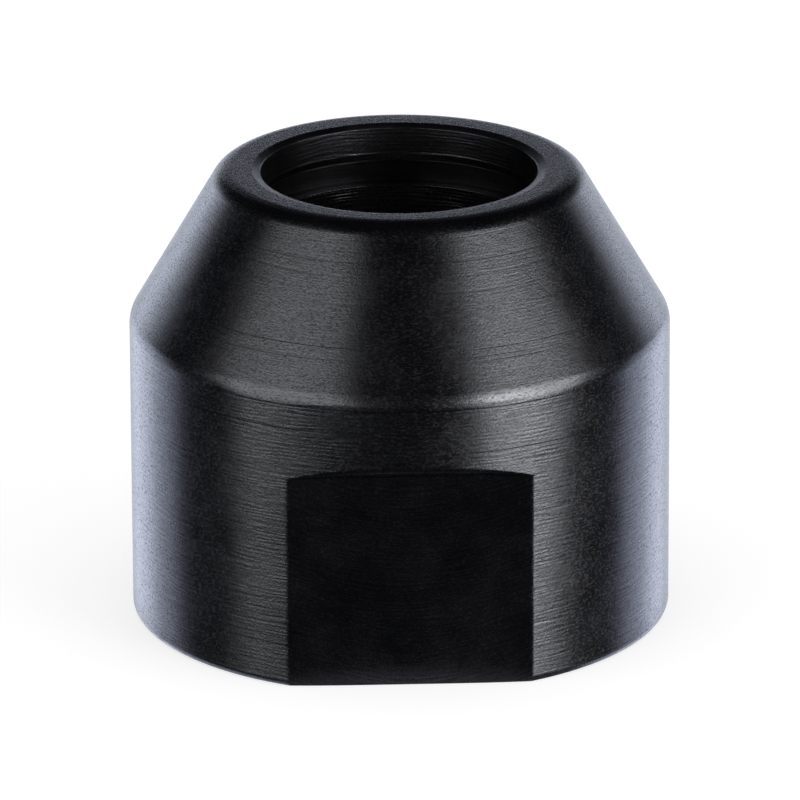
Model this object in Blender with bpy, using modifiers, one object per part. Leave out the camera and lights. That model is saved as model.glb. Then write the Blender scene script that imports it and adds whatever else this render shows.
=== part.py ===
"""Collet nut, turned from one piece of steel.

The nut stands nose up on its threaded end. The origin is the centre of that end's face, +Z points to
the nose, and the two wrench flats face -Y and +Y. Lengths are in metres, angles in radians.

The spindle screws in from below. The collet sits in the nose bore, and the conical seat inside presses
on the collet's shoulder when the nut is done up.
"""
import math

import bmesh
import bpy
from mathutils import Vector

OBJECT_NAME = "collet_nut"

# Thread for the spindle, a fine metric one
THREAD_DIAMETER = 0.014
THREAD_PITCH = 0.001
THREAD_LEAD_IN = 0.0002
RELIEF_DEPTH = 0.0001
RELIEF_WIDTH = 0.0012
RELIEF_FILLET = 0.0003

# Turned body around the thread
BODY_WALL = 0.0025
BODY_HEIGHT = 0.0107
SHOULDER_FILLET = 0.0009
FOOT_EDGE_BREAK = 0.00015

# Conical nose around the collet's bore
NOSE_HEIGHT = 0.00543
NOSE_WALL = 0.00147
NOSE_FILLET = 0.0008

# Collet's bore, from the mouth down: edge break, bore, ring groove, land and seat
BORE_DIAMETER = 0.0097
MOUTH_BREAK_WIDTH = 0.0003
MOUTH_BREAK_DEPTH = 0.00012
BORE_LENGTH = 0.00093
GROOVE_LEAD_LENGTH = 0.00029
GROOVE_LEAD_DEPTH = 0.00007
GROOVE_WIDTH = 0.00082
GROOVE_DEPTH = 0.00042
LAND_STEP = 0.00012
LAND_LENGTH = 0.00214
SEAT_HALF_ANGLE = math.radians(30)
SEAT_FILLET = 0.0004

# Wrench flats, milled by a cutter with a bevelled corner
FLAT_DEPTH = 0.001
FLAT_TO_SHOULDER = 0.0026
CUTTER_CORNER = 0.0005
CUTTER_OVERRUN = 0.002

# Facets of the turned form and of each rounded edge
TURN_STEPS = 96
FILLET_STEP = math.radians(12)
SHARP_ANGLE = math.radians(25)
MERGE_DISTANCE = 1e-7

# Sizes that follow from the ones above
HEIGHT = BODY_HEIGHT + NOSE_HEIGHT
BODY_RADIUS = THREAD_DIAMETER / 2 + BODY_WALL
THREAD_MINOR_RADIUS = (THREAD_DIAMETER - 1.0825 * THREAD_PITCH) / 2
RELIEF_RADIUS = THREAD_DIAMETER / 2 + RELIEF_DEPTH
BORE_RADIUS = BORE_DIAMETER / 2
NOSE_RADIUS = BORE_RADIUS + NOSE_WALL
LAND_RADIUS = BORE_RADIUS - LAND_STEP
FLAT_DISTANCE = BODY_RADIUS - FLAT_DEPTH
FLAT_HEIGHT = BODY_HEIGHT - FLAT_TO_SHOULDER


def arc_corner(before, corner, after, radius):
    """Points of the round that joins two straight lines of an outline at their corner."""
    to_before = (before - corner).normalized()
    to_after = (after - corner).normalized()
    half_angle = to_before.angle(to_after) / 2
    room = min((before - corner).length, (after - corner).length) / 2
    tangent = min(radius / math.tan(half_angle), room)
    radius = tangent * math.tan(half_angle)
    bisector = (to_before + to_after).normalized()
    centre = corner + bisector * radius / math.sin(half_angle)
    start = corner + to_before * tangent - centre
    turn = math.pi - 2 * half_angle
    if start.cross(to_after) < 0:
        turn = -turn
    steps = max(2, math.ceil(abs(turn) / FILLET_STEP))
    points = []
    for step in range(steps + 1):
        angle = turn * step / steps
        swung = Vector((start.x * math.cos(angle) - start.y * math.sin(angle),
                        start.x * math.sin(angle) + start.y * math.cos(angle)))
        points.append(centre + swung)
    return points


def rounded_outline(corners):
    """Closed outline from (radius, height, fillet) corners, each fillet drawn as an arc."""
    places = [Vector((radius, height)) for radius, height, fillet in corners]
    points = []
    for index, (radius, height, fillet) in enumerate(corners):
        if fillet > 0:
            after = places[(index + 1) % len(places)]
            points += arc_corner(places[index - 1], places[index], after, fillet)
        else:
            points.append(places[index])
    return points


def nut_corners():
    """Corners of the nut's half section, from the mouth out, down the outside and up the bore."""
    bore_end = HEIGHT - MOUTH_BREAK_DEPTH - BORE_LENGTH
    groove_top = bore_end - GROOVE_LEAD_LENGTH
    groove_foot = groove_top - GROOVE_WIDTH
    seat_top = groove_foot - LAND_LENGTH
    seat_length = (RELIEF_RADIUS - LAND_RADIUS) / math.tan(SEAT_HALF_ANGLE)
    relief_top = seat_top - seat_length
    relief_foot = relief_top - RELIEF_WIDTH
    lead_in_radius = THREAD_DIAMETER / 2 + THREAD_LEAD_IN
    lead_in_height = lead_in_radius - THREAD_MINOR_RADIUS
    outside = [
        (BORE_RADIUS + MOUTH_BREAK_WIDTH, HEIGHT, 0),
        (NOSE_RADIUS, HEIGHT, NOSE_FILLET),
        (BODY_RADIUS, BODY_HEIGHT, SHOULDER_FILLET),
        (BODY_RADIUS, FOOT_EDGE_BREAK, 0),
        (BODY_RADIUS - FOOT_EDGE_BREAK, 0, 0),
    ]
    spindle_end = [
        (lead_in_radius, 0, 0),
        (THREAD_MINOR_RADIUS, lead_in_height, 0),
        (THREAD_MINOR_RADIUS, relief_foot, 0),
        (RELIEF_RADIUS, relief_foot, RELIEF_FILLET),
        (RELIEF_RADIUS, relief_top, RELIEF_FILLET),
    ]
    collet_end = [
        (LAND_RADIUS, seat_top, SEAT_FILLET),
        (LAND_RADIUS, groove_foot, 0),
        (BORE_RADIUS + GROOVE_DEPTH, groove_foot, 0),
        (BORE_RADIUS + GROOVE_DEPTH, groove_top, 0),
        (BORE_RADIUS + GROOVE_LEAD_DEPTH, groove_top, 0),
        (BORE_RADIUS, bore_end, 0),
        (BORE_RADIUS, HEIGHT - MOUTH_BREAK_DEPTH, 0),
    ]
    return outside + spindle_end + collet_end


def new_collection(name):
    collection = bpy.data.collections.new(name)
    bpy.context.scene.collection.children.link(collection)
    return collection


def black_oxide_steel():
    """Steel with a black oxide finish, oiled."""
    material = bpy.data.materials.new("black_oxide_steel")
    material.use_nodes = True
    shader = material.node_tree.nodes["Principled BSDF"]
    shader.inputs["Base Color"].default_value = (0.035, 0.035, 0.039, 1)
    shader.inputs["Metallic"].default_value = 1
    shader.inputs["Roughness"].default_value = 0.4
    return material


def turned_nut(collection):
    """The nut's half section, turned once around the Z axis."""
    outline = rounded_outline(nut_corners())
    mesh = bpy.data.meshes.new(OBJECT_NAME)
    section = bmesh.new()
    vertices = [section.verts.new((point.x, 0, point.y)) for point in outline]
    for index, vertex in enumerate(vertices):
        section.edges.new((vertices[index - 1], vertex))
    section.to_mesh(mesh)
    section.free()
    nut = bpy.data.objects.new(OBJECT_NAME, mesh)
    collection.objects.link(nut)
    turning = nut.modifiers.new("turning", "SCREW")
    turning.axis = "Z"
    turning.angle = 2 * math.pi
    turning.steps = TURN_STEPS
    turning.render_steps = TURN_STEPS
    turning.use_merge_vertices = True
    turning.merge_threshold = MERGE_DISTANCE
    return nut


def flat_cutter(name, turn, collection):
    """The space that the milling cutter sweeps for one wrench flat, turned about the nut's axis."""
    width = 2 * BODY_RADIUS + 2 * CUTTER_OVERRUN
    thickness = FLAT_DEPTH + CUTTER_OVERRUN
    height = FLAT_HEIGHT + CUTTER_OVERRUN
    block = bmesh.new()
    bmesh.ops.create_cube(block, size=1)
    bmesh.ops.scale(block, vec=(width, thickness, height), verts=block.verts)
    centre = (0, -FLAT_DISTANCE - thickness / 2, FLAT_HEIGHT - height / 2)
    bmesh.ops.translate(block, vec=centre, verts=block.verts)
    corner = [edge for edge in block.edges
              if all(v.co.y > centre[1] and v.co.z > centre[2] for v in edge.verts)]
    bmesh.ops.bevel(block, geom=corner, offset=CUTTER_CORNER, segments=1, affect="EDGES")
    mesh = bpy.data.meshes.new(name)
    block.to_mesh(mesh)
    block.free()
    cutter = bpy.data.objects.new(name, mesh)
    cutter.rotation_euler.z = turn
    cutter.hide_render = True
    cutter.display_type = "WIRE"
    collection.objects.link(cutter)
    return cutter


def mill_flat(nut, cutter):
    cut = nut.modifiers.new(cutter.name, "BOOLEAN")
    cut.operation = "DIFFERENCE"
    cut.solver = "EXACT"
    cut.object = cutter


def finish_surface(nut, material):
    """Keeps the cut form as the nut's own mesh, smooth where it is round and sharp at its edges."""
    bpy.context.view_layer.update()
    evaluated = nut.evaluated_get(bpy.context.evaluated_depsgraph_get())
    mesh = bpy.data.meshes.new_from_object(evaluated)
    nut.modifiers.clear()
    nut.data = mesh
    mesh.name = OBJECT_NAME
    mesh.shade_smooth()
    mesh.set_sharp_from_angle(angle=SHARP_ANGLE)
    mesh.materials.clear()
    mesh.materials.append(material)


def build():
    for old in list(bpy.data.objects):
        bpy.data.objects.remove(old, do_unlink=True)
    parts = new_collection(OBJECT_NAME)
    cutters = new_collection("cutters")
    nut = turned_nut(parts)
    for name, turn in (("front_flat_cutter", 0), ("back_flat_cutter", math.pi)):
        mill_flat(nut, flat_cutter(name, turn, cutters))
    finish_surface(nut, black_oxide_steel())


build()
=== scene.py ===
"""Collet nut as it looks: turned and milled steel with a black oxide finish, nose up on a pale floor.

Lengths are in metres and angles in radians, unless a comment says otherwise. The nut's axis is Z, and
its wrench flats face -Y and +Y.
"""

import math

import bpy
from mathutils import Matrix, Vector, noise


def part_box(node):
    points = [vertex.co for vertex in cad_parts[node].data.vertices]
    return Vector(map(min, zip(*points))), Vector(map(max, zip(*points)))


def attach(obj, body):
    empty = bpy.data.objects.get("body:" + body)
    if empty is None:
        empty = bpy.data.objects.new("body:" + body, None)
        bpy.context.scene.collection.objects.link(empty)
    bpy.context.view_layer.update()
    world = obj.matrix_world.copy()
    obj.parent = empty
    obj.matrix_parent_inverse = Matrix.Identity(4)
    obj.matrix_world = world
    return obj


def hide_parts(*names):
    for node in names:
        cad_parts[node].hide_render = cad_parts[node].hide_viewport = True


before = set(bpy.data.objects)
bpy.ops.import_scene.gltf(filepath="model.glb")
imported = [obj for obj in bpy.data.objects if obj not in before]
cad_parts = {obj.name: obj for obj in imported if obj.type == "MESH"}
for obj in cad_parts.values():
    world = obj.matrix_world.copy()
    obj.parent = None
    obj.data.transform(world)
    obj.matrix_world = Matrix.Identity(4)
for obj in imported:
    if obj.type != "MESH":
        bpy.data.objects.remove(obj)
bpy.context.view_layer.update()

NODE = "collet_nut"

# Outside of the nut. The overall sizes come from the frame.
BODY_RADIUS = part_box(NODE)[1].x
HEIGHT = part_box(NODE)[1].z
SHOULDER_HEIGHT = 0.0107
SHOULDER_FILLET = 0.0009
NOSE_RADIUS = 0.00632
NOSE_FILLET = 0.0008
FOOT_BREAK_WIDTH = 0.0001
FOOT_BREAK_HEIGHT = 0.00018
FLAT_FOOT_BREAK = 0.00004
FOOT_SOFTNESS = 0.00008

# Wrench flats, with the gently sloping run-out that the cutter leaves above each. Their side edges are
# ragged: the softness there goes up and down along the height, and differs from column to column.
FLAT_DISTANCE = 0.0085
FLAT_NEARBY = 0.5   # cosine of the angle from a flat's middle, within which the wall may be cut
FLAT_END = 0.00763
RUN_OUT_SLOPE = 0.6
RUN_OUT_BEND = 120
RUN_OUT_STEP = 0.00001
RIM_EDGE = 0.0002
FLAT_EDGE_SOFTNESS = 0.00005
RAGGEDNESS = 0.6
RAG_LENGTH = 0.0003
RAG_SPREAD = 9

# Collet's bore, from the mouth down
MOUTH_BREAK_DEPTH = 0.00015
MOUTH_SHIFT = 0.00012
MOUTH_BREAK = [
    (0.00489, 0.000112, 0.000008, 0), (0.00514, 0.00001, 0.00001, 1), (0.00518, 0.000002, 0.00002, 1),
    (0.0055, 0, 0.008, 0),
]   # radius, drop below the nose face, radius of the edge's round, share of the shift to the front
FACE_CROWN = 0.000005
BURR_HEIGHT = 0.000008
LEAD_BURR_HEIGHT = 0.000016
BURR_LENGTH = 0.00005
CRISP_EDGE_RADIUS = 0.000008
BORE_RADIUS = 0.00485
BORE_LENGTH = 0.00093
GROOVE_LEAD_RADIUS = 0.00492
GROOVE_LEAD_LENGTH = 0.00029
GROOVE_RADIUS = 0.00527
GROOVE_WIDTH = 0.00082
LAND_RADIUS = 0.00473
LAND_LENGTH = 0.00214
SEAT_HALF_ANGLE = math.radians(30)
SEAT_FILLET = 0.0004

# Spindle thread, a right-handed fine metric one, and its relief
THREAD_RADIUS = 0.007
THREAD_PITCH = 0.001
THREAD_DEPTH_SHARE = 0.54125
THREAD_MINOR_RADIUS = THREAD_RADIUS - THREAD_DEPTH_SHARE * THREAD_PITCH
THREAD_FLANK = math.radians(30)
THREAD_ROOT_SHARE = 1 / 8
LEAD_IN_RADIUS = 0.0072
RELIEF_RADIUS = 0.0071
RELIEF_WIDTH = 0.0012
RELIEF_FILLET = 0.0003

# Mesh density
EDGE_RADIUS = 0.00004
FINE_EDGE_RADIUS = 0.00002
HOLD_DISTANCE = 0.00003
LONGEST_RUN_STEP = 0.0005
FILLET_STEPS = 10
EDGE_STEPS = 3
BAND_STEPS = 9
FLAT_STEPS = 30
FOOT_STEPS = 3
THREAD_STEPS = 78
WIDE_COLUMNS = 42
FLAT_COLUMNS = 32
EDGE_COLUMNS = 18
EDGE_ZONE = math.radians(1)
CORNER_ZONE = math.radians(2.4)
FACE_REACH = 0.000015
SMALLEST_AREA = 1e-15

# Photograph's view of the nut. The lens and the sensor are in millimetres.
CAMERA_DISTANCE = 0.3238
CAMERA_AZIMUTH = math.radians(-2.3)
CAMERA_ELEVATION = math.radians(19.45)
CAMERA_ROLL = math.radians(0.228)
CAMERA_LENS = 413.2
CAMERA_SENSOR = 36
CAMERA_NEAR = 0.01
CAMERA_FAR = 10
TARGET_HEIGHT = 0.00747

# Colours of the finish. The metal's reflectance goes with its marks between a darker and a paler one,
# and specks, lines and scratches go towards the dark colour, and inside corners too, as painted shade.
REFLECTANCE = (0.146, 0.148, 0.158)
MILLED_REFLECTANCE = (0.19, 0.19, 0.22)
# The ring groove's reflectance is lowered to darken the recess, as painted shade.
GROOVE_SHADED_REFLECTANCE = (0.06, 0.06, 0.064)
BARE_STEEL = (0.35, 0.34, 0.33)
DARK_COLOUR = (0.03, 0.03, 0.033)
SHADE_VARIATION = 0.45
FEED_SHADE = 0.3
STREAK_SHADE = 0.35
GRAIN_SHADE = 0.45
PATCH_SHADE = 0.2

# Marks of the finish. Lengths run round the nut and pitches run along its section, where a place is
# measured as its height less its radius. The grain is coarser on the nose face, and the feed marks and
# streaks are fainter on the cone.
NOISE_LEVELS = (0.25, 0.75)
FEED_PITCH = 0.00015
FEED_LENGTH = 0.0012
FEED_DRIFT = 10
STREAK_LENGTH = 0.0006
STREAK_PITCH = 0.00012
LINE_LENGTH = 0.012
LINE_PITCH = 0.0002
LINE_DEPTH = 0.0000012
LINE_LEVELS = (0.72, 0.8)
LINE_DARKNESS = 0.15
GRAIN_SIZE = 0.00006
FACE_GRAIN = 2.6
PATCH_SIZE = 0.0015
PATCH_ROUGHNESS = 0.06
CONE_START = 0.0011
CONE_END = 0.0098
CONE_FAINTNESS = 0.35
SPECK_LEVELS = (0.5, 0.78)
SPECK_ROUGHNESS = 0.14
SPECK_DARKNESS = 0.6
TURNED_SPECK_ROUGHNESS = 0.24
TURNED_SPECK_DARKNESS = 0.5
# Outward edges are worn and inside corners get painted shade, both by how sharply the section bends at
# this radius.
WEAR_AND_SHADE_RADIUS = 0.00001
WORN_ROUGHNESS = 0.35
LEAST_WORN = 0.3
# Share by which inside corners go towards the dark colour: painted shade.
CORNER_PAINTED_SHADE = 0.5

# Fine lines that the tool left, and scratches. Angles are in degrees from the camera's side.
TOOL_LINE_WIDTH = 0.00004
TOOL_LINE_DEPTH = 0.0000018
TOOL_LINE_DARKNESS = 0.9
TOOL_LINE_FADE = math.radians(6)
FACE_LINES = [
    (0.00523, 105, 150), (0.00528, 140, 192), (0.00528, -192, -160), (0.00534, -172, -110),
]   # radius on the nose face, then the angles between which the line shows
TOOL_LINES = [
    (0.0123, -47, -8), (0.0117, -52, -39), (0.01221, 18, 45), (0.01198, 13, 30), (0.01184, 20, 36),
    (0.01035, -40, 38), (0.00876, 13, 45), (0.00699, 29, 39), (0.0095, -50, -18),
]   # height, then the angles between which the line shows
SCRATCH_WIDTH = 0.00003
SCRATCH_DEPTH = 0.0000015
SCRATCH_DARKNESS = 0.5
SCRATCHES = [
    (0.01452, 33.5, 0.01411, 36.8), (0.01411, 36.8, 0.01338, 41.5), (0.0148, 36.9, 0.01437, 40.8),
    (0.0139, 39.9, 0.01344, 46.6), (0.01558, 27.6, 0.01529, 30.6),
]   # height and angle of one end on the cone, then of the other

# Finishes, each with its place in this list
TURNED_FINISH, MILLED_FINISH, BORE_FINISH, GROOVE_SHADED_FINISH, LAND_FINISH = range(5)
FINISHES = [
    ("turned_black_oxide", 1.1e-6, 1.5e-6, 2.5e-6, 0.25, REFLECTANCE, 0.15),
    ("milled_black_oxide", 0.0, 0.3e-6, 1.5e-6, 0.23, MILLED_REFLECTANCE, 0.1),
    ("bored_black_oxide", 2.2e-6, 1.5e-6, 1.2e-6, 0.32, REFLECTANCE, 0.6),
    # The groove's low reflectance is painted shade in the recess.
    ("groove_black_oxide_painted_shade", 2e-6, 1e-6, 0.5e-6, 0.4, GROOVE_SHADED_REFLECTANCE, 0.0),
    ("land_black_oxide", 14e-6, 2e-6, 0.8e-6, 0.3, REFLECTANCE, 0.6),
]   # name, depths of the feed marks, streaks and grain, roughness, reflectance, share of the edges' wear

# Studio: a dark room with a pale sweep behind the nut, a faint glint from the floor and soft panels.
# The sweep's edge is a cosine of the angle from straight behind, and its top and the glint's edge are
# sines of the angle above and below the level. The panels' angles are in degrees, from the camera's
# side and above the floor. The metal mirrors the floor within the first radius, and less and less of
# it out to the second one.
DIFFUSE_GLOW = 0.6
ROOM_GLOW = 0.0105
SWEEP_COLOUR = (0.9, 0.96, 1.1)
SWEEP_EDGE = (0.54, 0.66)
SWEEP_TOP = (0.08, 0.25)
FLOOR_GLINT = 0.04
GLINT_EDGE = (0.8, 0.95)
PANEL_DISTANCE = 0.6
COOL = (0.88, 0.95, 1.18)
PANELS = [
    ("front_right", 56, 10, 23, 24, 17, 2.25, (1, 1, 1)),
    ("front_right_low", 48, -3, 13, 21, -9, 1.55, (1, 1, 1)),
    ("front_left", -51, 11, 27, 27, -16, 1.02, (1, 1, 1)),
    ("rim_right", 131, -25, 19, 26, 2, 0.97, COOL),
    ("rim_left", -134, -34, 22, 37, 0, 0.84, COOL),
    ("top_back", 181, 24, 18, 17, 0, 0.05, COOL),
]   # name, azimuth, elevation, half width, half height, roll, radiance, tint
FLOOR_SIZE = 4
FLOOR_COLOUR = (0.58, 0.58, 0.58)
FLOOR_ROUGHNESS = 0.9
FLOOR_GLOW = 0.64
MIRRORED_RADIUS = 0.0085
MIRRORED_FADE_RADIUS = 0.011
MIRRORED_FADE_SHARE = 0.35


def arc(before, corner, after, radius, steps):
    """Points of the round that joins two straight lines of the section at their corner."""
    to_before = (before - corner).normalized()
    to_after = (after - corner).normalized()
    half_angle = to_before.angle(to_after) / 2
    tangent = radius / math.tan(half_angle)
    centre = corner + (to_before + to_after).normalized() * radius / math.sin(half_angle)
    start = corner + to_before * tangent - centre
    turn = math.pi - 2 * half_angle
    if start.cross(to_after) < 0:
        turn = -turn
    points = []
    for step in range(steps + 1):
        angle = turn * step / steps
        points.append(centre + Vector((start.x * math.cos(angle) - start.y * math.sin(angle),
                                       start.x * math.sin(angle) + start.y * math.cos(angle))))
    return points


def soft_edge(before, corner, after, reach):
    """Points of a softened edge: a parabola that starts and ends a short reach from the corner."""
    reach = min(reach, (before - corner).length / 3, (after - corner).length / 3)
    start = corner + (before - corner).normalized() * reach
    end = corner + (after - corner).normalized() * reach
    points = []
    for step in range(EDGE_STEPS + 1):
        share = step / EDGE_STEPS
        points.append(start.lerp(corner, share).lerp(corner.lerp(end, share), share))
    return points


def run(start, end, steps):
    """Points between two ends of a straight stretch, with one close to each end to hold its shading."""
    length = (end - start).length
    hold = min(HOLD_DISTANCE / length, 0.5 / (steps + 1))
    shares = [hold] + [step / steps for step in range(1, steps)] + [1 - hold]
    return [start.lerp(end, share) for share in shares]


def joined(stretches):
    """One line of points from several curved stretches, with straight runs between them."""
    points = list(stretches[0])
    for stretch in stretches[1:]:
        length = (stretch[0] - points[-1]).length
        if length > 2 * HOLD_DISTANCE:
            points += run(points[-1], stretch[0], max(1, math.ceil(length / LONGEST_RUN_STEP)))
        points += stretch
    return points


def inner_heights():
    """Heights of the steps in the bore, from the ring groove down to the thread relief."""
    bore_end = HEIGHT - MOUTH_BREAK_DEPTH - BORE_LENGTH
    groove_top = bore_end - GROOVE_LEAD_LENGTH
    groove_foot = groove_top - GROOVE_WIDTH
    seat_top = groove_foot - LAND_LENGTH
    relief_top = seat_top - (RELIEF_RADIUS - LAND_RADIUS) / math.tan(SEAT_HALF_ANGLE)
    return bore_end, groove_top, groove_foot, seat_top, relief_top, relief_top - RELIEF_WIDTH


def inner_section(turn):
    """The bore's section at one angle, from the thread relief up to the nose face.

    The mouth's edge was broken by hand, so it is a little wider towards the front.
    """
    shift = -MOUTH_SHIFT * math.sin(turn)
    bore_end, groove_top, groove_foot, seat_top, relief_top, relief_foot = inner_heights()
    corners = [
        (THREAD_MINOR_RADIUS, relief_foot, 0),
        (RELIEF_RADIUS, relief_foot, RELIEF_FILLET),
        (RELIEF_RADIUS, relief_top, RELIEF_FILLET),
        (LAND_RADIUS, seat_top, SEAT_FILLET),
        (LAND_RADIUS, groove_foot, FINE_EDGE_RADIUS),
        (GROOVE_RADIUS, groove_foot, CRISP_EDGE_RADIUS),
        (GROOVE_RADIUS, groove_top, EDGE_RADIUS),
        (GROOVE_LEAD_RADIUS - LEAD_BURR_HEIGHT, groove_top, CRISP_EDGE_RADIUS),
        (GROOVE_LEAD_RADIUS, groove_top + BURR_LENGTH, CRISP_EDGE_RADIUS),
        (BORE_RADIUS - BURR_HEIGHT, bore_end, CRISP_EDGE_RADIUS),
        (BORE_RADIUS, bore_end + BURR_LENGTH, CRISP_EDGE_RADIUS),
        (BORE_RADIUS, HEIGHT - MOUTH_BREAK_DEPTH, FINE_EDGE_RADIUS),
        *[(radius + share * shift, HEIGHT - drop, edge) for radius, drop, edge, share in MOUTH_BREAK],
        (NOSE_RADIUS, HEIGHT - FACE_CROWN, 0),
    ]
    places = [Vector((radius, height)) for radius, height, edge in corners]
    stretches = []
    for index in range(1, len(corners) - 1):
        edge = corners[index][2]
        steps = EDGE_STEPS if edge <= EDGE_RADIUS else FILLET_STEPS
        stretches.append(arc(places[index - 1], places[index], places[index + 1], edge, steps))
    return joined(stretches)


def upper_section(inner_end):
    """The section from the nose face down to the foot of the shoulder's fillet, the same all round."""
    nose = Vector((NOSE_RADIUS, HEIGHT - FACE_CROWN))
    shoulder = Vector((BODY_RADIUS, SHOULDER_HEIGHT))
    foot = Vector((BODY_RADIUS, 0))
    nose_round = arc(inner_end, nose, shoulder, NOSE_FILLET, FILLET_STEPS)
    shoulder_round = arc(nose, shoulder, foot, SHOULDER_FILLET, FILLET_STEPS)
    return joined([[inner_end], nose_round, shoulder_round])[1:]


def smaller_of(first, second, softness):
    """The smaller of two lengths, blended where they are close."""
    closeness = max(softness - abs(first - second), 0) / softness
    return min(first, second) - closeness ** 2 * softness / 4


def ragged(height, turn):
    """Softness of a flat's side edge, which the turning marks make uneven along its height."""
    place = Vector((math.cos(turn) * RAG_SPREAD, math.sin(turn) * RAG_SPREAD, height / RAG_LENGTH))
    return FLAT_EDGE_SOFTNESS * (1 + RAGGEDNESS * 2 * noise.noise(place))


def run_out(depth):
    """How far above a flat's end its run-out reaches where the cut is this deep."""
    return RUN_OUT_SLOPE * depth - RUN_OUT_BEND * depth ** 2


def outer_wall(top, turn, aside):
    """The wall's section from the shoulder to the foot, at an angle aside from a flat's middle."""
    slant = math.cos(aside)
    cut = max(BODY_RADIUS * slant - FLAT_DISTANCE, 0)
    wall_radius = min(BODY_RADIUS, FLAT_DISTANCE / slant) if slant > FLAT_NEARBY else BODY_RADIUS
    ledge_radius = (FLAT_DISTANCE + cut / 2) / slant if cut > 0 else BODY_RADIUS
    rim = Vector((BODY_RADIUS, FLAT_END + run_out(cut) + 2 * RUN_OUT_STEP))
    ledge = Vector((ledge_radius, FLAT_END + run_out(cut / 2) + RUN_OUT_STEP))
    start = Vector((wall_radius, FLAT_END))
    broken = min(max((wall_radius - FLAT_DISTANCE) / (BODY_RADIUS - FLAT_DISTANCE), 0), 1) ** 2
    break_width = FLAT_FOOT_BREAK + (FOOT_BREAK_WIDTH - FLAT_FOOT_BREAK) * broken
    break_height = FLAT_FOOT_BREAK + (FOOT_BREAK_HEIGHT - FLAT_FOOT_BREAK) * broken
    heel = Vector((wall_radius, break_height))
    toe = Vector((wall_radius - break_width, 0))
    axis = Vector((LEAD_IN_RADIUS, 0))
    rim_edge = soft_edge(top, rim, ledge, RIM_EDGE)
    ledge_edge = soft_edge(rim, ledge, start, FINE_EDGE_RADIUS)
    start_edge = soft_edge(ledge, start, heel, FINE_EDGE_RADIUS)
    heel_edge = soft_edge(start, heel, toe, FOOT_SOFTNESS)
    toe_edge = soft_edge(heel, toe, axis, FOOT_SOFTNESS)
    points = run(top, rim_edge[0], BAND_STEPS) + rim_edge
    points += run(rim_edge[-1], ledge_edge[0], 1) + ledge_edge
    points += run(ledge_edge[-1], start_edge[0], 1) + start_edge
    points += run(start_edge[-1], heel_edge[0], FLAT_STEPS) + heel_edge
    points += run(heel_edge[-1], toe_edge[0], 1) + toe_edge
    points += run(toe_edge[-1], axis, FOOT_STEPS)
    if slant > FLAT_NEARBY:
        for point in points:
            if break_height < point.y < FLAT_END:
                point.x = smaller_of(BODY_RADIUS, FLAT_DISTANCE / slant, ragged(point.y, turn))
    return points


def thread_wall(turn, relief_foot):
    """The threaded bore's section at one angle around the axis, from the foot up to the relief."""
    points = []
    for step in range(THREAD_STEPS + 1):
        height = relief_foot * step / THREAD_STEPS
        phase = height / THREAD_PITCH - turn / (2 * math.pi)
        offset = abs(phase - round(phase)) - THREAD_ROOT_SHARE / 2
        groove = THREAD_RADIUS - max(offset, 0) * THREAD_PITCH / math.tan(THREAD_FLANK)
        lead_in = LEAD_IN_RADIUS - height
        points.append(Vector((max(groove, lead_in, THREAD_MINOR_RADIUS), height)))
    return points


def column_angles():
    """Angles of the mesh's columns around the axis, close together at the sides of the flats."""
    side = math.acos(FLAT_DISTANCE / BODY_RADIUS)
    quarter = math.pi / 2
    spans = [
        (-quarter, -side - EDGE_ZONE, WIDE_COLUMNS),
        (-side - EDGE_ZONE, -side + CORNER_ZONE, EDGE_COLUMNS),
        (-side + CORNER_ZONE, side - CORNER_ZONE, FLAT_COLUMNS),
        (side - CORNER_ZONE, side + EDGE_ZONE, EDGE_COLUMNS),
        (side + EDGE_ZONE, quarter, WIDE_COLUMNS),
    ]
    angles = []
    for middle in (-quarter, quarter):
        for start, end, steps in spans:
            for step in range(steps):
                aside = start + (end - start) * step / steps
                angles.append((middle + aside, aside))
    return angles


def edge_wear_and_corner_shade(section):
    """How worn each point of the closed section is, up to 1 on outward edges, with painted shade in
    inside corners down to -1.
    """
    wear_and_corner_shade = []
    for index, point in enumerate(section):
        before = point - section[index - 1]
        after = section[(index + 1) % len(section)] - point
        reach = (before.length + after.length) / 2
        outward = -before.cross(after) / max(before.length * after.length, SMALLEST_AREA)
        wear_and_corner_shade.append(min(max(outward / reach * WEAR_AND_SHADE_RADIUS, -1), 1))
    return wear_and_corner_shade


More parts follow.
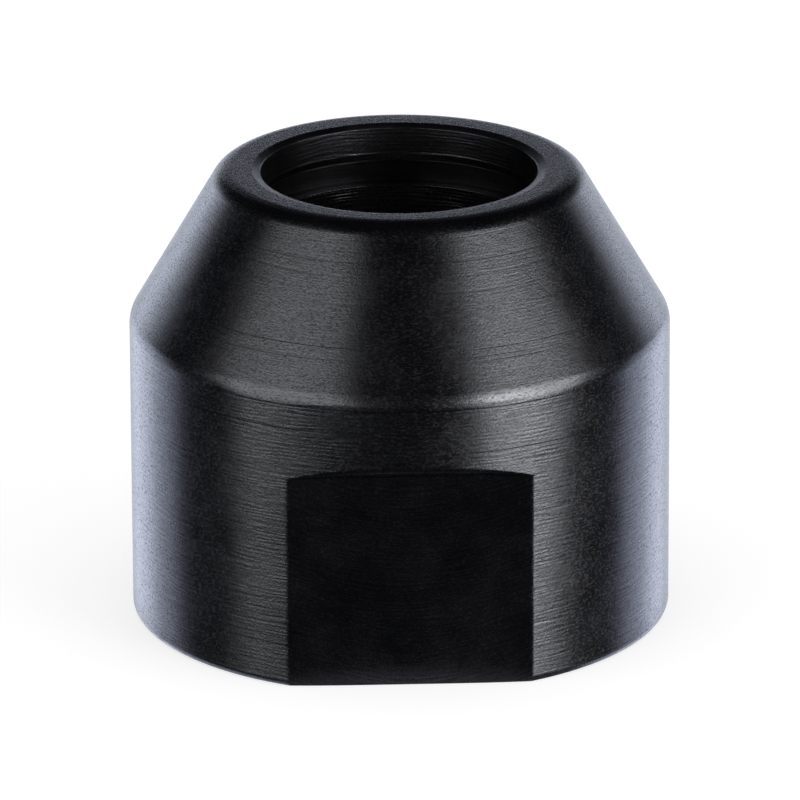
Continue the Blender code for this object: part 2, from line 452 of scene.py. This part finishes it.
def nut_mesh():
    """One closed mesh: each column is the nut's section at its angle, and rows join like points."""
    upper = upper_section(inner_section(0)[-1])
    relief_foot = inner_heights()[-1]
    columns = column_angles()
    vertices = []
    wear_and_corner_shade = []
    for turn, aside in columns:
        wall = outer_wall(upper[-1], turn, aside)
        section = upper + wall + thread_wall(turn, relief_foot) + inner_section(turn)
        wear_and_corner_shade += edge_wear_and_corner_shade(section)
        for point in section:
            vertices.append((point.x * math.cos(turn), point.x * math.sin(turn), point.y))
    rows = len(section)
    outside_rows = len(upper + wall)
    band_rows = (BAND_STEPS + 1) + (EDGE_STEPS + 1) // 2
    foot_rows = (FOOT_STEPS + 1) + (EDGE_STEPS + 1) + 1
    flat_rows = range(len(upper) + band_rows, outside_rows - foot_rows)
    bore_end, groove_top, groove_foot = inner_heights()[:3]
    groove_rows = {row for row, point in enumerate(section)
                   if row >= outside_rows and point.x > GROOVE_LEAD_RADIUS
                   and groove_foot - EDGE_RADIUS < point.y < groove_top + EDGE_RADIUS}
    face_rows = {row for row, point in enumerate(section)
                 if row >= outside_rows and point.y > HEIGHT - FACE_REACH}
    land_rows = {row for row, point in enumerate(section)
                 if row >= outside_rows and point.x < LAND_RADIUS + EDGE_RADIUS and point.y < groove_foot}
    faces = []
    finishes = []
    for column in range(len(columns)):
        here = column * rows
        there = (column + 1) % len(columns) * rows
        aside = (columns[column][1] + columns[(column + 1) % len(columns)][1]) / 2
        milled = BODY_RADIUS * math.cos(aside) > FLAT_DISTANCE
        for row in range(rows):
            below = (row + 1) % rows
            faces.append((here + row, here + below, there + below, there + row))
            if row in groove_rows:
                finishes.append(GROOVE_SHADED_FINISH)
            elif row in land_rows:
                finishes.append(LAND_FINISH)
            elif row >= outside_rows and row not in face_rows:
                finishes.append(BORE_FINISH)
            elif milled and row in flat_rows:
                finishes.append(MILLED_FINISH)
            else:
                finishes.append(TURNED_FINISH)
    mesh = bpy.data.meshes.new("nut_surface")
    mesh.from_pydata(vertices, [], faces)
    mesh.polygons.foreach_set("material_index", finishes)
    # Each point's wear on outward edges and painted shade in inside corners.
    mesh.attributes.new("wear_and_corner_shade", "FLOAT", "POINT").data.foreach_set("value", wear_and_corner_shade)
    mesh.shade_smooth()
    return mesh


class Nodes:
    """Builds a node tree: each call adds one node, fed with sockets or plain values."""

    def __init__(self, tree):
        self.tree = tree

    def feed(self, socket, value):
        if isinstance(value, bpy.types.NodeSocket):
            self.tree.links.new(value, socket)
        else:
            socket.default_value = value

    def add(self, kind, inputs=None, **settings):
        node = self.tree.nodes.new("ShaderNode" + kind)
        for setting, value in settings.items():
            setattr(node, setting, value)
        for name, value in (inputs or {}).items():
            self.feed(node.inputs[name], value)
        return node

    def math(self, operation, first, second=0.0):
        return self.add("Math", {0: first, 1: second}, operation=operation).outputs[0]

    def total(self, *values):
        result = values[0]
        for value in values[1:]:
            result = self.math("ADD", result, value)
        return result

    def product(self, *values):
        result = values[0]
        for value in values[1:]:
            result = self.math("MULTIPLY", result, value)
        return result

    def largest(self, *values):
        result = values[0]
        for value in values[1:]:
            result = self.math("MAXIMUM", result, value)
        return result

    def ramp(self, value, low, high, start=0.0, end=1.0):
        """Goes smoothly from start to end while the value goes from low to high."""
        inputs = {"Value": value, "From Min": low, "From Max": high, "To Min": start, "To Max": end}
        return self.add("MapRange", inputs, interpolation_type="SMOOTHSTEP").outputs[0]

    def tint(self, share, first, second):
        """A colour that goes from first to second as the share goes from 0 to 1."""
        mix = self.add("Mix", data_type="RGBA")
        for socket, value in zip((mix.inputs[0], mix.inputs[6], mix.inputs[7]), (share, first, second)):
            self.feed(socket, value)
        return mix.outputs[2]

    def noise(self, vector, detail, low=NOISE_LEVELS[0], high=NOISE_LEVELS[1]):
        """Noise stretched to go from 0 to 1 between two of its levels."""
        texture = self.add("TexNoise", {"Vector": vector, "Scale": 1.0, "Detail": detail})
        inputs = {"Value": texture.outputs[0], "From Min": low, "From Max": high}
        return self.add("MapRange", inputs).outputs[0]


class TurnedPlace(Nodes):
    """Nodes of a finish on the nut, with the place on it measured round and along its section."""

    def __init__(self, tree):
        super().__init__(tree)
        self.point = self.add("TexCoord").outputs["Object"]
        self.axes = self.add("SeparateXYZ", {"Vector": self.point}).outputs
        flat = self.add("VectorMath", {0: self.point, 1: (1, 1, 0)}, operation="MULTIPLY").outputs[0]
        radius = self.add("VectorMath", {0: flat}, operation="LENGTH").outputs["Value"]
        self.along = self.math("SUBTRACT", self.axes["Z"], radius)
        self.turn = self.math("ARCTAN2", self.axes["X"], self.product(self.axes["Y"], -1.0))

    def marks(self, length, pitch):
        """Coordinates for noise drawn out to marks of this length round the nut."""
        parts = {"X": self.product(self.axes["X"], 1 / length),
                 "Y": self.product(self.axes["Y"], 1 / length),
                 "Z": self.product(self.along, 1 / pitch)}
        return self.add("CombineXYZ", parts).outputs[0]

    def cells(self, size):
        """Coordinates for noise of the same size in all directions."""
        return self.add("VectorMath", {0: self.point, "Scale": 1 / size}, operation="SCALE").outputs[0]

    def tool_line(self, section_place, start, end):
        """One fine line that a tool left round the nut, from 0 to 1 at its middle."""
        off = self.math("ABSOLUTE", self.math("SUBTRACT", self.along, section_place))
        depth = self.ramp(off, 0.0, TOOL_LINE_WIDTH, 1.0, 0.0)
        first = CAMERA_AZIMUTH + math.radians(start)
        last = CAMERA_AZIMUTH + math.radians(end)
        opened = self.ramp(self.turn, first - TOOL_LINE_FADE, first + TOOL_LINE_FADE)
        closed = self.ramp(self.turn, last - TOOL_LINE_FADE, last + TOOL_LINE_FADE, 1.0, 0.0)
        return self.product(depth, opened, closed)

    def scratch(self, start, end):
        """One short straight scratch between two places, from 0 to 1 at its middle."""
        reach = (end - start).length
        heading = (end - start) / reach
        offset = self.add("VectorMath", {0: self.point, 1: start}, operation="SUBTRACT").outputs[0]
        share = self.add("VectorMath", {0: offset, 1: heading}, operation="DOT_PRODUCT").outputs["Value"]
        share = self.math("MINIMUM", self.largest(share, 0.0), reach)
        nearest = self.add("VectorMath", {0: heading, "Scale": share}, operation="SCALE").outputs[0]
        away = self.add("VectorMath", {0: offset, 1: nearest}, operation="DISTANCE").outputs["Value"]
        return self.ramp(away, 0.0, SCRATCH_WIDTH, 1.0, 0.0)


def outside_radius(height):
    """Radius of the body or the cone at a height, without their fillets."""
    if height < SHOULDER_HEIGHT:
        return BODY_RADIUS
    share = (height - SHOULDER_HEIGHT) / (HEIGHT - SHOULDER_HEIGHT)
    return BODY_RADIUS + (NOSE_RADIUS - BODY_RADIUS) * share


def outside_place(height, angle):
    """The place on the body or the cone at a height and an angle from the camera's side."""
    turn = CAMERA_AZIMUTH + math.radians(angle)
    radius = outside_radius(height)
    return Vector((radius * math.sin(turn), -radius * math.cos(turn), height))


def oxide_finish(name, feed_depth, streak_depth, grain_depth, roughness, reflectance, wear_share):
    """Black oxide on steel: feed marks, streaks, a fine grain, dark specks, worn edges and painted shade
    in inside corners.

    The turned finish also has long fine lines and a few scratches.
    """
    turned = name == FINISHES[TURNED_FINISH][0]
    speck_darkness = TURNED_SPECK_DARKNESS if turned else SPECK_DARKNESS
    speck_roughness = TURNED_SPECK_ROUGHNESS if turned else SPECK_ROUGHNESS
    material = bpy.data.materials.new(name)
    material.use_nodes = True
    shader = material.node_tree.nodes["Principled BSDF"]
    nodes = TurnedPlace(material.node_tree)

    above_body = nodes.ramp(nodes.along, CONE_START - FEED_PITCH, CONE_START + FEED_PITCH)
    on_face = nodes.ramp(nodes.along, CONE_END - FEED_PITCH, CONE_END + FEED_PITCH)
    coarse = nodes.ramp(nodes.math("SUBTRACT", above_body, on_face), 0.0, 1.0, 1.0, CONE_FAINTNESS)
    drift = nodes.noise(nodes.marks(3 * FEED_LENGTH, 3 * FEED_PITCH), 2)
    feeds = nodes.product(nodes.along, 2 * math.pi / FEED_PITCH)
    phase = nodes.total(feeds, nodes.product(drift, FEED_DRIFT))
    swell = nodes.noise(nodes.marks(FEED_LENGTH, 3 * FEED_PITCH), 1)
    feed = nodes.product(nodes.math("SINE", phase), swell, coarse)
    streaks = nodes.noise(nodes.marks(STREAK_LENGTH, STREAK_PITCH), 2)
    grain = nodes.noise(nodes.cells(GRAIN_SIZE), 2)
    roughened = nodes.product(grain, nodes.ramp(on_face, 0.0, 1.0, grain_depth, FACE_GRAIN * grain_depth))
    drawn_out = nodes.product(streaks, coarse, streak_depth)
    height = nodes.total(nodes.product(feed, feed_depth), drawn_out, roughened)
    specks = nodes.noise(nodes.marks(2 * GRAIN_SIZE, GRAIN_SIZE), 1, *SPECK_LEVELS)
    # Wear on outward edges, and painted shade in inside corners that darkens the colour there.
    worn_and_shaded = nodes.add("Attribute", attribute_name="wear_and_corner_shade").outputs["Fac"]
    dark = nodes.largest(nodes.product(specks, speck_darkness), nodes.product(worn_and_shaded, -CORNER_PAINTED_SHADE))
    if turned:
        long_lines = nodes.noise(nodes.marks(LINE_LENGTH, LINE_PITCH), 0, *LINE_LEVELS)
        lines = [(level - outside_radius(level), start, end) for level, start, end in TOOL_LINES]
        lines += [(HEIGHT - radius, start, end) for radius, start, end in FACE_LINES]
        drawn = nodes.largest(*[nodes.tool_line(*line) for line in lines])
        scratched = nodes.largest(*[nodes.scratch(outside_place(*line[:2]), outside_place(*line[2:]))
                                    for line in SCRATCHES])
        height = nodes.math("SUBTRACT", height, nodes.product(long_lines, LINE_DEPTH))
        height = nodes.math("SUBTRACT", height, nodes.product(drawn, TOOL_LINE_DEPTH))
        height = nodes.math("SUBTRACT", height, nodes.product(scratched, SCRATCH_DEPTH))
        dark = nodes.largest(dark, nodes.product(long_lines, LINE_DARKNESS),
                             nodes.product(drawn, TOOL_LINE_DARKNESS),
                             nodes.product(scratched, SCRATCH_DARKNESS))
    bump = nodes.add("Bump", {"Height": height, "Distance": 1.0, "Strength": 1.0})

    patches = nodes.noise(nodes.cells(PATCH_SIZE), 2)
    crests = nodes.total(nodes.product(feed, FEED_SHADE), nodes.product(streaks, STREAK_SHADE),
                         nodes.product(grain, GRAIN_SHADE), nodes.product(patches, PATCH_SHADE))
    pale = (*[(1 + SHADE_VARIATION) * part for part in reflectance], 1)
    deep = (*[(1 - SHADE_VARIATION) * part for part in reflectance], 1)
    oxide = nodes.tint(crests, deep, pale)
    oxide = nodes.tint(dark, oxide, (*DARK_COLOUR, 1))
    rubbed = nodes.ramp(streaks, 0.0, 1.0, LEAST_WORN, 1.0)
    # Only the outward edges' wear turns to paler, rougher bare steel.
    worn_and_shaded = nodes.product(nodes.largest(worn_and_shaded, 0.0), rubbed, wear_share)
    nodes.feed(shader.inputs["Base Color"], nodes.tint(worn_and_shaded, oxide, (*BARE_STEEL, 1)))
    uneven = nodes.total(nodes.product(patches, PATCH_ROUGHNESS), nodes.product(specks, speck_roughness),
                         nodes.product(worn_and_shaded, WORN_ROUGHNESS), roughness - PATCH_ROUGHNESS)
    nodes.feed(shader.inputs["Roughness"], uneven)
    nodes.feed(shader.inputs["Normal"], bump.outputs[0])
    shader.inputs["Metallic"].default_value = 1
    return material


def floor_material():
    """Pale floor: nothing from below or to a lamp's rays, and shown to the metal only under the nut.

    Elsewhere the metal's reflections look through it, to the sweep behind the nut.
    """
    material = bpy.data.materials.new("floor")
    material.use_nodes = True
    shader = material.node_tree.nodes["Principled BSDF"]
    shader.inputs["Base Color"].default_value = (*FLOOR_COLOUR, 1)
    shader.inputs["Roughness"].default_value = FLOOR_ROUGHNESS
    shader.inputs["Specular IOR Level"].default_value = 0
    shader.inputs["Emission Color"].default_value = (1, 1, 1, 1)
    nodes = Nodes(material.node_tree)
    path = nodes.add("LightPath").outputs
    seen = nodes.largest(path["Is Camera Ray"], path["Is Transmission Ray"])
    nodes.feed(shader.inputs["Emission Strength"], nodes.product(seen, FLOOR_GLOW))
    behind = nodes.add("NewGeometry").outputs["Backfacing"]
    place = nodes.add("TexCoord").outputs["Object"]
    away = nodes.add("VectorMath", {0: place}, operation="LENGTH").outputs["Value"]
    under = nodes.math("LESS_THAN", away, MIRRORED_RADIUS)
    around = nodes.ramp(away, MIRRORED_RADIUS, MIRRORED_FADE_RADIUS, MIRRORED_FADE_SHARE, 0.0)
    mirrored = nodes.largest(under, around)
    unseen = nodes.product(path["Is Glossy Ray"], nodes.math("SUBTRACT", 1.0, mirrored))
    hidden = nodes.largest(behind, path["Is Shadow Ray"], unseen)
    clear = nodes.add("BsdfTransparent")
    mix = nodes.add("MixShader", {0: hidden, 1: shader.outputs[0], 2: clear.outputs[0]})
    nodes.feed(material.node_tree.nodes["Material Output"].inputs[0], mix.outputs[0])
    return material


def direction(azimuth, elevation):
    """Unit vector towards a direction, azimuth 0 being the camera's side and positive to its right."""
    turn = CAMERA_AZIMUTH + azimuth
    flat = math.cos(elevation)
    return Vector((math.sin(turn) * flat, -math.cos(turn) * flat, math.sin(elevation)))


def panel(name, azimuth, elevation, half_width, half_height, roll, radiance, tint):
    """A soft studio panel that fills the given angles as the nut sees it."""
    light = bpy.data.lights.new(name, "AREA")
    light.shape = "RECTANGLE"
    light.size = 2 * PANEL_DISTANCE * math.tan(half_width)
    light.size_y = 2 * PANEL_DISTANCE * math.tan(half_height)
    light.energy = math.pi * light.size * light.size_y * radiance
    light.color = tint
    lamp = bpy.data.objects.new(name, light)
    bpy.context.scene.collection.objects.link(lamp)
    towards = direction(azimuth, elevation)
    lamp.location = Vector((0, 0, TARGET_HEIGHT)) + towards * PANEL_DISTANCE
    facing = towards.to_track_quat("Z", "Y").to_matrix() @ Matrix.Rotation(-roll, 3, "Z")
    lamp.rotation_euler = facing.to_euler()
    lamp.visible_camera = False


def studio():
    """The panels, and a white backdrop that the metal shows as a dark room with a pale sweep."""
    world = bpy.data.worlds.new("studio")
    bpy.context.scene.world = world
    world.use_nodes = True
    nodes = Nodes(world.node_tree)
    path = nodes.add("LightPath").outputs
    towards = nodes.add("TexCoord").outputs["Generated"]
    rear = nodes.add("VectorMath", {0: towards, 1: direction(math.pi, 0)}, operation="DOT_PRODUCT")
    rise = nodes.add("SeparateXYZ", {"Vector": towards}).outputs["Z"]
    below_top = nodes.ramp(rise, *SWEEP_TOP, 1.0, 0.0)
    sweep = nodes.product(nodes.ramp(rear.outputs["Value"], *SWEEP_EDGE), below_top)
    glint = nodes.ramp(nodes.product(rise, -1.0), *GLINT_EDGE, 0.0, FLOOR_GLINT)
    mirrored = nodes.product(path["Is Glossy Ray"], nodes.largest(sweep, glint, ROOM_GLOW))
    diffuse = nodes.product(path["Is Diffuse Ray"], DIFFUSE_GLOW)
    strength = nodes.largest(path["Is Camera Ray"], path["Is Transmission Ray"], mirrored, diffuse)
    background = world.node_tree.nodes["Background"]
    colour = nodes.tint(path["Is Glossy Ray"], (1, 1, 1, 1), (*SWEEP_COLOUR, 1))
    nodes.feed(background.inputs["Color"], colour)
    nodes.feed(background.inputs["Strength"], strength)
    for name, azimuth, elevation, half_width, half_height, roll, radiance, tint in PANELS:
        panel(name, math.radians(azimuth), math.radians(elevation), math.radians(half_width),
              math.radians(half_height), math.radians(roll), radiance, tint)


def camera():
    """A long lens that sees the nut as the photograph does."""
    cos_elevation = math.cos(CAMERA_ELEVATION)
    back = Vector((math.sin(CAMERA_AZIMUTH) * cos_elevation,
                   -math.cos(CAMERA_AZIMUTH) * cos_elevation,
                   math.sin(CAMERA_ELEVATION)))
    data = bpy.data.cameras.new("camera")
    data.lens = CAMERA_LENS
    data.sensor_width = CAMERA_SENSOR
    data.clip_start = CAMERA_NEAR
    data.clip_end = CAMERA_FAR
    seen = bpy.data.objects.new("camera", data)
    bpy.context.scene.collection.objects.link(seen)
    level = (-back).to_track_quat("-Z", "Y").to_matrix().to_4x4()
    roll = Matrix.Rotation(-CAMERA_ROLL, 4, "Z")
    place = Matrix.Translation(Vector((0, 0, TARGET_HEIGHT)) + back * CAMERA_DISTANCE)
    seen.matrix_world = place @ level @ roll
    bpy.context.scene.camera = seen


nut = bpy.data.objects.new("nut", nut_mesh())
bpy.context.scene.collection.objects.link(nut)
for values in FINISHES:
    nut.data.materials.append(oxide_finish(*values))
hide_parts(NODE)
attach(nut, "root")

bpy.ops.mesh.primitive_plane_add(size=FLOOR_SIZE)
floor = bpy.context.object
floor.name = "floor"
floor.data.materials.append(floor_material())

studio()
camera()
bpy.context.scene.view_settings.view_transform = "Standard"
